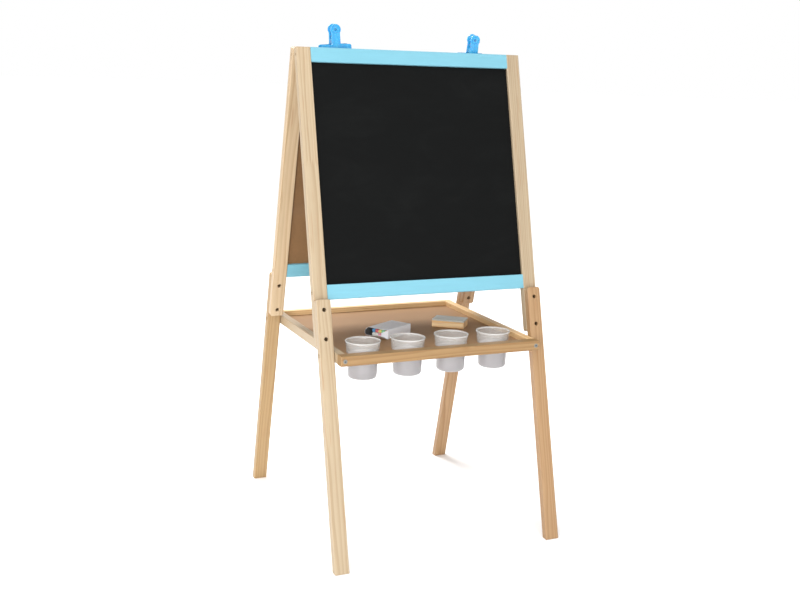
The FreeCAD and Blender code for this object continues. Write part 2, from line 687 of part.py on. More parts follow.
def cup(place):
    """Thin-walled cup: tapered body, shoulder that rests on the tray floor, collar and rim."""
    rim_foot = CUP_TOP - CUP_RIM_HEIGHT
    profile = [
        (0, CUP_BOTTOM, 0),
        (CUP_BODY_FOOT_RADIUS, CUP_BOTTOM, CUP_CORNER),
        (CUP_BODY_TOP_RADIUS, FLOOR_TOP, 0),
        (CUP_COLLAR_FOOT_RADIUS, FLOOR_TOP, CUP_STEP_ROUNDING),
        (CUP_COLLAR_TOP_RADIUS, rim_foot, 0),
        (CUP_RIM_RADIUS, rim_foot, CUP_STEP_ROUNDING),
        (CUP_RIM_RADIUS, CUP_TOP, CUP_RIM_ROUNDING),
        (CUP_COLLAR_TOP_RADIUS - CUP_WALL, CUP_TOP, CUP_STEP_ROUNDING),
        (CUP_COLLAR_FOOT_RADIUS - CUP_WALL, FLOOR_TOP + CUP_WALL, 0),
        (CUP_BODY_TOP_RADIUS - CUP_WALL, FLOOR_TOP + CUP_WALL, CUP_STEP_ROUNDING),
        (CUP_BODY_FOOT_RADIUS - CUP_WALL, CUP_BOTTOM + CUP_WALL, CUP_CORNER - CUP_WALL),
        (0, CUP_BOTTOM + CUP_WALL, 0),
    ]
    return turned(profile, place)


# ---- board clips -----------------------------------------------------------------------------

def clip_plate(side):
    """One half before its lugs: wide jaw, narrow neck and ring, all in one plane."""
    n_low = -CLIP_PLAY - CLIP_THICKNESS if side == FRONT else TIMBER_DEPTH + CLIP_PLAY
    far = n_low if side == FRONT else n_low + CLIP_THICKNESS
    push = Y_AXIS * CLIP_THICKNESS
    half_outline = [
        (JAW_WIDTH / 2, JAW_FOOT),
        (JAW_WIDTH / 2, JAW_TOP),
        (NECK_WIDTH / 2, JAW_TOP),
        (NECK_WIDTH / 2, RING_HEIGHT),
    ]
    half_radii = [JAW_FOOT_CORNER, JAW_CORNER, NECK_FILLET, 0]
    outline = [Vector(across, n_low, up) for across, up in half_outline]
    outline += [Vector(-across, n_low, up) for across, up in reversed(half_outline)]
    centre = Vector(0, n_low, RING_HEIGHT)
    jaw = plate(outline, half_radii + half_radii[::-1], push)
    body = union([jaw, rod(centre, centre + push, RING_RADIUS)])
    body = ease(body, CLIP_EDGE, lambda p: abs(p.y - far) < CLOSE)
    groove_start = Vector(0, far + side * OVERCUT, RING_HEIGHT)
    groove_end = Vector(0, far - side * RING_GROOVE_DEPTH, RING_HEIGHT)
    outer, inner = RING_GROOVE_RADII
    groove = rod(groove_start, groove_end, outer).cut(rod(groove_start, groove_end, inner))
    hole = rod(centre - Y_AXIS * OVERCUT, centre + push + Y_AXIS * OVERCUT, RING_HOLE_RADIUS)
    return without(body, [groove, hole])


def clip_half(side):
    """A clip half with stiffening ribs on its neck and two lugs that reach the pin."""
    face = -CLIP_PLAY - LUG_ROOT if side == FRONT else TIMBER_DEPTH + CLIP_PLAY + LUG_ROOT
    rib_x = NECK_WIDTH / 2 - LUG_THICKNESS
    lug_x = rib_x if side == FRONT else rib_x - LUG_THICKNESS - LUG_GAP
    foot_z = CLIP_PIN_HEIGHT - RIB_DROP
    pieces = [clip_plate(side)]
    for way in HANDS:
        lug_span = (way * lug_x, way * (lug_x + LUG_THICKNESS))
        rib_span = (way * rib_x, way * (rib_x + LUG_THICKNESS))
        outline = [
            Vector(min(lug_span), face, foot_z),
            Vector(min(lug_span), CLIP_PIN_N, CLIP_PIN_HEIGHT - LUG_RADIUS),
            Vector(min(lug_span), CLIP_PIN_N, CLIP_PIN_HEIGHT + LUG_RADIUS),
            Vector(min(lug_span), face, CLIP_PIN_HEIGHT + RIB_DROP),
        ]
        pieces.append(plate(outline, [0, 0, 0, 0], X_AXIS * LUG_THICKNESS))
        pieces.append(rod(clip_axis_at(lug_span[0]), clip_axis_at(lug_span[1]), LUG_RADIUS))
        rib_y = (face, face - side * RIB_DEPTH)
        pieces.append(block(rib_span, rib_y, (foot_z, RING_HEIGHT - RIB_DROP)))
    bore = rod(clip_axis_at(-NECK_WIDTH), clip_axis_at(NECK_WIDTH), CLIP_PIN_RADIUS + RUNNING_PLAY)
    return union(pieces).cut(bore)


def clip_axis_at(x):
    """A point on the axis that a clip's rear half turns about."""
    return Vector(x, CLIP_PIN_N, CLIP_PIN_HEIGHT)


def clip_pin():
    """Steel pin through a clip's lugs."""
    half = NECK_WIDTH / 2 + CLIP_PIN_END
    return rod(clip_axis_at(-half), clip_axis_at(half), CLIP_PIN_RADIUS)


def clip_spring():
    """Coiled wire spring on the pin, with an arm towards each half."""
    length = SPRING_TURNS * SPRING_PITCH
    helix = Part.makeHelix(SPRING_PITCH, length, SPRING_RADIUS)
    section = Part.Wire(Part.makeCircle(SPRING_WIRE, Vector(SPRING_RADIUS, 0, 0), Y_AXIS))
    coil = Part.Wire(helix.Edges).makePipeShell([section], True, True)
    arms = [
        rod(Vector(SPRING_RADIUS, 0, z), Vector(SPRING_RADIUS, way * SPRING_ARM, z), SPRING_WIRE)
        for z, way in ((0, 1), (length, -1))
    ]
    body = union([coil] + arms)
    body.rotate(ORIGIN, Y_AXIS, 90)
    body.rotate(ORIGIN, X_AXIS, 90)
    body.translate(clip_axis_at(-length / 2))
    return body


def place_clip(shape, hand):
    """Put a piece of a clip, drawn over the middle of the rear top rail, where its clip sits."""
    shape.rotate(ORIGIN, Y_AXIS, CLIP_ROLL[hand])
    shape.translate(Z_AXIS * CLIP_RISE[hand])
    shape.rotate(ORIGIN, X_AXIS, CLIP_LEAN[hand])
    shape.translate(Vector(CLIP_X[hand], HALF_GAP, INNER_TOP_Z))
    return shape


# ---- loose things on the tray ----------------------------------------------------------------

def on_tray(shape, place):
    """Turn a shape about its own middle and stand it on the tray floor."""
    x, y, turn = place
    shape.rotate(ORIGIN, Z_AXIS, turn)
    shape.translate(Vector(x, y, FLOOR_TOP))
    return shape


def eraser_block():
    """Wooden grip of the eraser, underneath as it lies."""
    length, width, height = ERASER_SIZE
    glue = height - ERASER_FELT
    body = block(about(0, length), about(0, width), (0, glue))
    lower_edges = [edge for edge in body.Edges if edge.CenterOfMass.z < glue - CLOSE]
    body = body.makeFillet(ERASER_EDGE, lower_edges)
    return on_tray(body, ERASER_PLACE)


def eraser_felt():
    """Felt face of the eraser, on top as it lies."""
    length, width, height = ERASER_SIZE
    body = block(about(0, length), about(0, width), (height - ERASER_FELT, height))
    return on_tray(body, ERASER_PLACE)


def chalk_box():
    """Thin card box with one end open: a tuck flap in front, and a small flap at each side."""
    width, length, height = BOX_SIZE
    mouth, end = about(0, length)
    outer = block(about(0, width), (mouth, end), (0, height))
    inner = block(about(0, width - 2 * CARD), (mouth - OVERCUT, end - CARD), (CARD, height - CARD))
    flap_x = width / 2 - TUCK_FLAP_INSET
    tuck_flap = plate(
        [
            Vector(-flap_x, mouth + CARD, 0),
            Vector(-flap_x, mouth + CARD, CARD),
            Vector(-flap_x, mouth - TUCK_FLAP, TUCK_FLAP_RISE + CARD),
            Vector(-flap_x, mouth - TUCK_FLAP, TUCK_FLAP_RISE),
        ],
        [0, 0, 0, 0],
        X_AXIS * (2 * flap_x),
    )
    wall_x = width / 2 - CARD / 2
    corners = [
        Vector(wall_x, mouth, CARD / 2),
        Vector(wall_x, mouth, height - CARD / 2),
        Vector(wall_x - SIDE_FLAP, mouth, height - CARD / 2 - SIDE_FLAP_CUT),
        Vector(wall_x - SIDE_FLAP, mouth, CARD / 2),
    ]
    side_flap = plate(corners, [0, 0, 0, 0], Y_AXIS * CARD)
    left_corners = [
        Vector(-width / 2, mouth + CARD, CARD),
        Vector(-width / 2, mouth + CARD, height - CARD),
        Vector(-width / 2, mouth - LEFT_FLAP, height - CARD - LEFT_FLAP_CUT),
        Vector(-width / 2, mouth - LEFT_FLAP, TUCK_FLAP_RISE + 2 * CARD),
    ]
    left_flap = plate(left_corners, [0, 0, 0, 0], X_AXIS * CARD)
    return on_tray(union([outer.cut(inner), tuck_flap, side_flap, left_flap]), BOX_PLACE)


def is_free(row, column):
    """Whether a stick can be drawn out, over the tuck flap and beside the small flap."""
    return row == CHALK_ROWS - 1 and column < FREE_COLUMNS


def chalks(free):
    """Round sticks of chalk, in layers across the box: the free ones or the others."""
    sticks = []
    start = CHALK_INSET - BOX_SIZE[1] / 2
    for row in range(CHALK_ROWS):
        for column in range(CHALK_COLUMNS):
            if is_free(row, column) != free:
                continue
            x = (column - (CHALK_COLUMNS - 1) / 2) * CHALK_PITCH + CHALK_SHIFT
            z = CARD + CHALK_PLAY + CHALK_RADIUS + row * CHALK_PITCH
            stick = rod(Vector(x, start, z), Vector(x, start + CHALK_LENGTH, z), CHALK_RADIUS)
            stick = stick.makeChamfer(CHALK_CHAMFER, edges_where(stick, is_end(start)))
            sticks.append(on_tray(stick, BOX_PLACE))
    return Part.makeCompound(sticks)


def is_end(start):
    """A test for the round edges at both ends of a stick of chalk."""
    ends = (start, start + CHALK_LENGTH)
    return lambda p: min(abs(p.y - end) for end in ends) < CLOSE


# ---- all nodes -------------------------------------------------------------------------------

def build():
    """Every node by name."""
    nodes = {}
    for side, where in SIDES.items():
        for hand, which in HANDS.items():
            nodes[f"{where}_post_{which}"] = post(side, hand)
            nodes[f"{where}_leg_{which}"] = leg(side, hand)
        nodes[f"{where}_top_rail"] = without(rail(side, 0), hinge_screw_holes(side))
        nodes[f"{where}_bottom_rail"] = rail(side, BOTTOM_RAIL_TOP)
        nodes[f"{where}_rail_screws"] = rail_screws(side)
        nodes[f"{where}_leg_bolts"] = leg_bolts(side)
        nodes[f"{where}_leg_nuts"] = leg_nuts(side)
        nodes[f"{where}_hinge_leaves"] = hinge_leaves(side)
        nodes[f"{where}_hinge_screws"] = hinge_screws(side)
    nodes["chalkboard"] = board(FRONT)
    nodes["drawing_board"] = board(REAR)
    nodes["hinge_pins"] = hinge_pins()
    nodes["front_tray_bolts"] = tray_bolts(FRONT, TRAY_INNER_X + FRONT_BOLT_SHORT)
    nodes["rear_tray_bolts"] = tray_bolts(REAR, INNER_X + REAR_BOLT_SHORT)
    nodes["tray_front_rail"] = tray_end_rail(FRONT)
    nodes["tray_back_rail"] = tray_end_rail(REAR)
    for hand, which in HANDS.items():
        nodes[f"tray_side_rail_{which}"] = tray_side_rail(hand)
        nodes[f"clip_{which}_front_half"] = place_clip(clip_half(FRONT), hand)
        rear_half = clip_half(REAR)
        rear_half.rotate(clip_axis_at(0), X_AXIS, CLIP_OPENING[hand])
        nodes[f"clip_{which}_rear_half"] = place_clip(rear_half, hand)
        nodes[f"clip_{which}_pin"] = place_clip(clip_pin(), hand)
        nodes[f"clip_{which}_spring"] = place_clip(clip_spring(), hand)
    nodes["tray_floor"] = tray_floor()
    nodes["tray_cap_screws"] = tray_cap_screws()
    nodes["tray_inserts"] = tray_inserts()
    for number, place in enumerate(cup_places(), start=1):
        nodes[f"paint_cup_{number}"] = cup(place)
    nodes["eraser_block"] = eraser_block()
    nodes["eraser_felt"] = eraser_felt()
    nodes["chalk_box"] = chalk_box()
    nodes["free_chalks"] = chalks(True)
    nodes["held_chalks"] = chalks(False)
    return nodes


os.makedirs("parts", exist_ok=True)
for name, shape in build().items():
    shape.exportStep(f"parts/{name}.step")
    print(name, len(shape.Solids), round(shape.Volume), shape.isValid())
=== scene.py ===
import json
import math

import bmesh
import bpy
from mathutils import Matrix, Vector, noise


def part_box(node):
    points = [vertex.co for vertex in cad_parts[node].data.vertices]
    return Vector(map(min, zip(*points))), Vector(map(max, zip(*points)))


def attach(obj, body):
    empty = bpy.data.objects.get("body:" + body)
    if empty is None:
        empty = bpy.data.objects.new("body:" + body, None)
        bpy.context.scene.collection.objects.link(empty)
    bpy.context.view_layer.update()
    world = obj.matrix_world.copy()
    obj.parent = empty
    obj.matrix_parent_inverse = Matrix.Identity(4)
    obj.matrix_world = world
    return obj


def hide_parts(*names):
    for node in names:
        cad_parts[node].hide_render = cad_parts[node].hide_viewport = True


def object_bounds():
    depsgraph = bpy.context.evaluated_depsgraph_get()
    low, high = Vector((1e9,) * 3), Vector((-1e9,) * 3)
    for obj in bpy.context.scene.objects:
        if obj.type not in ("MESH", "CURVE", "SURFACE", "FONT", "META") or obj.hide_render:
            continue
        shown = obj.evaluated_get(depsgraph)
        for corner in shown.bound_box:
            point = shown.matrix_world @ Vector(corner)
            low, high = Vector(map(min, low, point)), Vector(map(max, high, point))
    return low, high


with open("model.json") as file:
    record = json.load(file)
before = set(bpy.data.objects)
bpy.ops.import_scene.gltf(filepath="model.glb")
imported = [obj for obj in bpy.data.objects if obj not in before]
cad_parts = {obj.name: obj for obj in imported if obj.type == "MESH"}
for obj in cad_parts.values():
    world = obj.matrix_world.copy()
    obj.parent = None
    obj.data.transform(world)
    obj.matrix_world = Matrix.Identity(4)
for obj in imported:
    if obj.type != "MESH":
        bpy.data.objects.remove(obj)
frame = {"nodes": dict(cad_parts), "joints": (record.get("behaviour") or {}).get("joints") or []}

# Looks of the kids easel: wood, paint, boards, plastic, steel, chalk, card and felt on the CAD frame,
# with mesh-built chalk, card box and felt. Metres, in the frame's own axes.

cad_low, cad_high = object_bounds()

NODES = frame["nodes"]
JOINTS = {joint["name"]: joint for joint in frame["joints"]}
LEAN = math.radians(JOINTS["frame_fold"]["range_deg"][1]) / 2     # of each frame from the vertical
QUARTER = math.pi / 2
UP = Vector((0, 0, 1))
MM = 0.001
SIDES = {"front": -1, "rear": 1}
HANDS = ("left", "right")


# ---- small helpers ---------------------------------------------------------------------------

def srgb(red, green, blue):
    """A colour in everyday steps of 0 to 255, as the linear values that a shader takes."""
    linear = []
    for step in (red, green, blue):
        share = step / 255
        linear.append(share / 12.92 if share <= 0.04045 else ((share + 0.055) / 1.055) ** 2.4)
    return (*linear, 1.0)


def middle_of(node):
    """The middle of a CAD node's box."""
    low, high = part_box(node)
    return (low + high) / 2


def extent(node, direction):
    """The lowest and highest place of a CAD node along a direction."""
    places = [vertex.co.dot(direction) for vertex in NODES[node].data.vertices]
    return min(places), max(places)


def solids_of(node):
    """The points of each separate solid in a CAD node."""
    mesh = bmesh.new()
    mesh.from_mesh(NODES[node].data)
    bmesh.ops.remove_doubles(mesh, verts=mesh.verts, dist=0.01 * MM)
    unseen = set(mesh.verts)
    groups = []
    while unseen:
        stack = [unseen.pop()]
        points = []
        while stack:
            vertex = stack.pop()
            points.append(vertex.co.copy())
            for edge in vertex.link_edges:
                other = edge.other_vert(vertex)
                if other in unseen:
                    unseen.remove(other)
                    stack.append(other)
        groups.append(points)
    mesh.free()
    return groups


def piece_from(name, vertices, faces, material, body):
    """A smooth-shaded mesh piece that rides on a body."""
    mesh = bpy.data.meshes.new(name)
    mesh.from_pydata(vertices, [], faces)
    mesh.update()
    mesh.shade_smooth()
    mesh.materials.append(material)
    piece = bpy.data.objects.new(name, mesh)
    bpy.context.scene.collection.objects.link(piece)
    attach(piece, body)
    return piece


def dress(node, material):
    """Give a CAD node its material."""
    slots = NODES[node].data.materials
    slots.clear()
    slots.append(material)


# ---- materials -------------------------------------------------------------------------------

class Surface:
    """A procedural material. Each call adds a node and returns its output."""

    def __init__(self, name):
        self.material = bpy.data.materials.new(name)
        self.material.use_nodes = True
        tree = self.material.node_tree
        tree.nodes.clear()
        self.nodes = tree.nodes
        self.links = tree.links
        self.shader = self.nodes.new("ShaderNodeBsdfPrincipled")
        output = self.nodes.new("ShaderNodeOutputMaterial")
        self.links.new(self.shader.outputs["BSDF"], output.inputs["Surface"])

    def feed(self, socket, value):
        if isinstance(value, bpy.types.NodeSocket):
            self.links.new(value, socket)
        else:
            socket.default_value = value

    def add(self, kind, inputs, out=0, **settings):
        node = self.nodes.new("ShaderNode" + kind)
        for key, value in settings.items():
            setattr(node, key, value)
        for key, value in inputs.items():
            self.feed(node.inputs[key], value)
        return node.outputs[out]

    def place(self, origin=(0, 0, 0), turn=(0, 0, 0)):
        """Coordinates fixed to the piece, from an origin, along turned axes."""
        whole = self.add("TexCoord", {}, "Object")
        inputs = {"Vector": whole, "Location": origin, "Rotation": turn}
        return self.add("Mapping", inputs, vector_type="TEXTURE")

    def stretch(self, vector, scale):
        return self.add("VectorMath", {0: vector, 1: scale}, operation="MULTIPLY")

    def shift(self, vector, offset):
        return self.add("VectorMath", {0: vector, 1: offset}, operation="ADD")

    def split(self, vector):
        node = self.nodes.new("ShaderNodeSeparateXYZ")
        self.links.new(vector, node.inputs[0])
        return node.outputs[0], node.outputs[1], node.outputs[2]

    def join(self, x, y, z):
        return self.add("CombineXYZ", {0: x, 1: y, 2: z})

    def noise(self, vector, scale, detail=2.0, roughness=0.5, distortion=0.0):
        inputs = {
            "Vector": vector,
            "Scale": scale,
            "Detail": detail,
            "Roughness": roughness,
            "Distortion": distortion,
        }
        return self.add("TexNoise", inputs)

    def cells(self, vector, scale):
        """Distance to the nearest of many scattered points."""
        return self.add("TexVoronoi", {"Vector": vector, "Scale": scale})

    def math(self, operation, a, b=0.0, c=0.0):
        return self.add("Math", {0: a, 1: b, 2: c}, operation=operation)

    def step(self, value, low, high, to_low=0.0, to_high=1.0):
        """A smooth rise between two values."""
        inputs = {0: value, 1: low, 2: high, 3: to_low, 4: to_high}
        return self.add("MapRange", inputs, interpolation_type="SMOOTHSTEP")

    def mix(self, share, first, second, blend="MIX"):
        inputs = {0: share, 6: first, 7: second}
        return self.add("Mix", inputs, out=2, data_type="RGBA", blend_type=blend)

    def shade(self, colour, value):
        """A colour made lighter or darker by a factor near 1."""
        grey = self.join(value, value, value)
        return self.mix(1.0, colour, grey, "MULTIPLY")

    def bump(self, height, distance, under=None):
        inputs = {"Height": height, "Distance": distance, "Strength": 1.0}
        if under is not None:
            inputs["Normal"] = under
        return self.add("Bump", inputs)

    def finish(self, **sockets):
        """Feed the shader: names have _ for a space. Returns the material."""
        for name, value in sockets.items():
            self.feed(self.shader.inputs[name.replace("_", " ")], value)
        return self.material


RESIN = (150, 100, 55)
KNOT = (138, 84, 44)
GLUE = (150, 110, 70)


def pine(name, pale, dark, turn, middle, seed, joint=None, rings=2.4 * MM):
    """Varnished pine: growth rings round a pith outside the timber, fibres, resin flecks and knots.

    turn lays the local Z along the grain. joint is the local Z of a glued finger joint.
    """
    surface = Surface(name)
    here = surface.place(middle, turn)
    seam = 0.0
    if joint is not None:
        finger_length, finger_pitch = 19 * MM, 6.2 * MM
        other_timber = (0.021, 0.033, 0.4)
        x, _, z = surface.split(here)
        wave = surface.math("PINGPONG", x, finger_pitch / 2)
        edge = surface.math("MULTIPLY_ADD", wave, finger_length / (finger_pitch / 2), joint)
        past = surface.math("GREATER_THAN", z, edge)
        near = surface.math("ABSOLUTE", surface.math("SUBTRACT", z, edge))
        seam = surface.step(near, 0.0, 1.8 * MM, 0.22, 0.0)
        here = surface.shift(here, surface.stretch(surface.join(past, past, past), other_timber))
    own = surface.shift(here, (seed * 0.37, seed * 0.61, seed * 0.83))
    along = surface.stretch(own, (1, 1, 0.1))
    elsewhere = surface.shift(along, (3, 5, 7))
    wander = 12 * MM
    wander_x = surface.math("MULTIPLY_ADD", surface.noise(along, 14), wander, -wander / 2)
    wander_y = surface.math("MULTIPLY_ADD", surface.noise(elsewhere, 14), wander, -wander / 2)
    knot_place = surface.cells(surface.stretch(own, (1, 1, 0.6)), 11)
    swell = surface.step(knot_place, 0.02, 0.2, 4 * MM, 0.0)
    x, y, _ = surface.split(here)
    pith_x = math.cos(seed * 2.1) * 0.06
    pith_y = 0.13 + 0.04 * math.sin(seed * 1.3)
    across = surface.math("ADD", surface.math("ADD", x, -pith_x), wander_x)
    through = surface.math("ADD", surface.math("ADD", y, -pith_y), wander_y)
    radius = surface.add("VectorMath", {0: surface.join(across, through, 0.0)}, "Value", operation="LENGTH")
    count = surface.math("DIVIDE", surface.math("ADD", radius, swell), rings)
    ring = surface.math("FRACT", count)
    rise = surface.step(ring, 0.2, 0.86)
    late = surface.math("MULTIPLY", rise, surface.step(ring, 0.88, 1.0, 1.0, 0.0))
    uneven = surface.noise(surface.join(surface.math("MULTIPLY", count, 0.23), seed, 0.0), 3, 1)
    late = surface.math("MULTIPLY", late, surface.step(uneven, 0.25, 0.7, 0.25, 0.9))
    colour = surface.mix(late, srgb(*pale), srgb(*dark))
    fibre = surface.noise(surface.stretch(own, (1, 1, 0.02)), 650, 2, 0.6)
    cloud = surface.noise(surface.stretch(own, (1, 1, 0.2)), 11, 3)
    colour = surface.shade(colour, surface.step(fibre, 0.2, 0.8, 0.95, 1.04))
    colour = surface.shade(colour, surface.step(cloud, 0.25, 0.75, 0.93, 1.04))
    flecks = surface.step(surface.noise(surface.stretch(own, (1, 1, 0.035)), 300, 0), 0.68, 0.78, 0.0, 0.35)
    colour = surface.mix(flecks, colour, srgb(*RESIN))
    knot = surface.step(knot_place, 0.028, 0.046, 0.8, 0.0)
    colour = surface.mix(knot, colour, srgb(*KNOT))
    colour = surface.mix(seam, colour, srgb(*GLUE))
    fibre_height = surface.math("MULTIPLY", fibre, 0.5)
    height = surface.math("SUBTRACT", fibre_height, surface.math("MULTIPLY", late, 0.3))
    return surface.finish(
        Base_Color=colour,
        Roughness=surface.step(fibre, 0.2, 0.8, 0.42, 0.56),
        Normal=surface.bump(height, 0.12 * MM),
        Coat_Weight=0.12,
        Coat_Roughness=0.35,
    )


def blue_paint():
    """Satin paint over wood, whose grain shows faintly."""
    surface = Surface("blue_paint")
    here = surface.place()
    grain = surface.noise(surface.stretch(here, (0.03, 1, 1)), 420, 3, 0.6)
    cloud = surface.noise(here, 7, 3)
    peel = surface.noise(here, 900, 1)
    colour = surface.mix(cloud, srgb(109, 168, 185), srgb(119, 176, 193))
    colour = surface.shade(colour, surface.step(grain, 0.25, 0.75, 0.965, 1.02))
    height = surface.math("ADD", surface.math("MULTIPLY", grain, 0.7), surface.math("MULTIPLY", peel, 0.3))
    return surface.finish(
        Base_Color=colour,
        Roughness=surface.step(grain, 0.2, 0.8, 0.36, 0.48),
        Normal=surface.bump(height, 0.08 * MM),
        Coat_Weight=0.1,
        Coat_Roughness=0.25,
    )


def hardboard_colour(surface, here):
    """Brown pressed fibre, with its fibres as the height."""
    fibres = surface.noise(here, 420, 4, 0.7, 0.6)
    mottle = surface.noise(here, 26, 3, 0.6)
    colour = surface.mix(mottle, srgb(112, 80, 46), srgb(131, 97, 60))
    colour = surface.shade(colour, surface.step(fibres, 0.2, 0.8, 0.86, 1.1))
    return colour, fibres


def screen_print(surface, here):
    """The woven imprint that the press leaves on the rough face of hardboard."""
    x, _, z = surface.split(here)
    pitch = 2.4 * MM
    wave_x = surface.math("SINE", surface.math("MULTIPLY", x, 2 * math.pi / pitch))
    wave_z = surface.math("SINE", surface.math("MULTIPLY", z, 2 * math.pi / pitch))
    return surface.math("MULTIPLY", wave_x, wave_z)


def panel(name, node, side, face_colour, roughness, face_height, coat, shine):
    """A panel with a painted outer face and bare rough hardboard inside."""
    bare_roughness = 0.7
    face_from_middle = 1.0 * MM
    surface = Surface(name)
    here = surface.place(middle_of(node), (side * LEAN, 0, 0))
    _, y, _ = surface.split(here)
    inside = surface.math("LESS_THAN", surface.math("MULTIPLY", y, side), face_from_middle)
    face = face_colour(surface, here)
    board, fibres = hardboard_colour(surface, here)
    print_height = surface.math("MULTIPLY_ADD", screen_print(surface, here), 0.25, fibres)
    smooth_height = surface.math("MULTIPLY", surface.noise(here, 1400, 2), face_height)
    outside = surface.math("SUBTRACT", 1.0, inside)
    height = surface.math(
        "ADD",
        surface.math("MULTIPLY", inside, print_height),
        surface.math("MULTIPLY", smooth_height, outside),
    )
    return surface.finish(
        Base_Color=surface.mix(inside, face, board),
        Roughness=surface.math("MULTIPLY_ADD", inside, bare_roughness - roughness, roughness),
        Normal=surface.bump(height, 0.15 * MM),
        Specular_IOR_Level=shine,
        Coat_Weight=coat,
        Coat_Roughness=0.12,
    )


def chalkboard_face(surface, here):
    """Matt black paint with the dust of old wiped chalk."""
    wipes = surface.noise(surface.stretch(here, (1, 1, 2.6)), 5, 5, 0.62, 0.8)
    dust = surface.noise(here, 260, 3, 0.7)
    film = surface.math("MULTIPLY", surface.step(wipes, 0.42, 0.8), surface.step(dust, 0.3, 0.75, 0.4, 1.0))
    return surface.mix(surface.math("MULTIPLY", film, 0.12), srgb(9, 10, 10), srgb(44, 46, 45))


def white_face(surface, here):
    """Smooth white film with hardly visible smears of wiped ink."""
    smears = surface.noise(surface.stretch(here, (1, 1, 3)), 6, 4, 0.6, 0.5)
    return surface.mix(surface.step(smears, 0.5, 0.85, 0.0, 0.3), srgb(196, 199, 200), srgb(182, 187, 190))


def tray_board():
    """Smooth varnished hardboard of the tray floor."""
    surface = Surface("tray_board")
    here = surface.place()
    colour, fibres = hardboard_colour(surface, here)
    colour = surface.mix(0.5, colour, srgb(184, 145, 108))
    return surface.finish(
        Base_Color=colour,
        Roughness=surface.step(fibres, 0.2, 0.8, 0.5, 0.62),
        Normal=surface.bump(fibres, 0.05 * MM),
        Specular_IOR_Level=0.3,
    )


def frosted_plastic():
    """Half-clear moulded plastic of the cups: milky at the rim and below the tray floor."""
    fade_below, fade_above = 6 * MM, 2 * MM
    rim_height, rim_fade = 4 * MM, 1.5 * MM
    clear_roughness, milky_roughness = 0.16, 0.36
    clear_share, milky_share = 0.75, 0.6
    surface = Surface("frosted_plastic")
    here = surface.place()
    _, _, up = surface.split(here)
    floor_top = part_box("tray_floor")[1].z
    rim_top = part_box("paint_cup_1")[1].z
    below = surface.step(up, floor_top - fade_below, floor_top + fade_above, 1.0, 0.0)
    rim = surface.step(up, rim_top - rim_height, rim_top - rim_height + rim_fade)
    milk = surface.math("MAXIMUM", below, rim)
    grain = surface.noise(here, 1300, 2)
    cloud = surface.noise(here, 40, 2)
    milky = surface.mix(cloud, srgb(196, 193, 195), srgb(204, 201, 203))
    colour = surface.mix(below, srgb(250, 249, 247), milky)
    return surface.finish(
        Base_Color=colour,
        Roughness=surface.math("MULTIPLY_ADD", below, milky_roughness - clear_roughness, clear_roughness),
        Normal=surface.bump(grain, 0.03 * MM),
        Transmission_Weight=surface.math("MULTIPLY_ADD", milk, milky_share - clear_share, clear_share),
        IOR=1.42,
        Coat_Weight=0.3,
        Coat_Roughness=0.12,
    )


def clip_plastic():
    """Glossy blue moulded plastic with slight flow marks."""
    surface = Surface("clip_plastic")
    here = surface.place()
    flow = surface.noise(surface.stretch(here, (1, 1, 0.4)), 60, 3, 0.5, 1.0)
    grain = surface.noise(here, 1600, 1)
    colour = surface.mix(surface.step(flow, 0.3, 0.7), srgb(56, 150, 202), srgb(74, 164, 209))
    return surface.finish(
        Base_Color=colour,
        Roughness=surface.step(flow, 0.3, 0.7, 0.22, 0.32),
        Normal=surface.bump(grain, 0.03 * MM),
        Subsurface_Weight=0.4,
        Subsurface_Scale=3 * MM,
    )


def plated_steel(name, dark, bright):
    """Plated steel, a little uneven."""
    surface = Surface(name)
    here = surface.place()
    blotch = surface.noise(here, 240, 3, 0.6)
    colour = surface.mix(blotch, srgb(*dark), srgb(*bright))
    return surface.finish(
        Base_Color=colour,
        Metallic=1.0,
        Roughness=surface.step(blotch, 0.3, 0.7, 0.28, 0.45),
        Normal=surface.bump(surface.noise(here, 1800, 1), 0.02 * MM),
    )


def card(name, tone):
    """Uncoated card."""
    surface = Surface(name)
    here = surface.place()
    fibres = surface.noise(here, 700, 3, 0.7, 0.4)
    colour = surface.shade(srgb(*tone), surface.step(fibres, 0.25, 0.75, 0.95, 1.03))
    return surface.finish(Base_Color=colour, Roughness=0.78, Normal=surface.bump(fibres, 0.06 * MM))


def chalk(name, colour):
    """Pressed chalk: powdery and pitted, with paler rubbed patches."""
    surface = Surface(name)
    here = surface.place()
    grains = surface.noise(here, 1500, 3, 0.7)
    rubbed = surface.noise(here, 90, 3, 0.6)
    tone = surface.mix(surface.step(rubbed, 0.45, 0.75, 0.0, 0.35), srgb(*colour), srgb(245, 243, 238))
    tone = surface.shade(tone, surface.step(grains, 0.25, 0.75, 0.93, 1.04))
    return surface.finish(Base_Color=tone, Roughness=0.95, Normal=surface.bump(grains, 0.12 * MM))


def felt():
    """Grey pressed wool, with loose fibres and chalk worked into it; its greys are lightened as painted
    light against the shade over the tray.
    """
    surface = Surface("felt")
    here = surface.place()
    tangle = surface.noise(here, 520, 5, 0.75, 1.5)
    chalky = surface.noise(here, 45, 3, 0.6)
    # Both greys are lighter than the wool itself: painted light against the boards' shade over the tray
    colour = surface.mix(tangle, srgb(176, 179, 172), srgb(214, 216, 210))
    colour = surface.mix(surface.step(chalky, 0.5, 0.8, 0.0, 0.4), colour, srgb(226, 227, 222))
    return surface.finish(
        Base_Color=colour,
        Roughness=0.95,
        Normal=surface.bump(tangle, 0.35 * MM),
        Sheen_Weight=0.35,
        Sheen_Roughness=0.5,
    )


def studio_floor():
    """Pale seamless paper."""
    surface = Surface("studio_floor")
    here = surface.place()
    tone = surface.mix(surface.noise(here, 3, 2), srgb(250, 250, 250), srgb(253, 253, 253))
    return surface.finish(Base_Color=tone, Roughness=0.9)
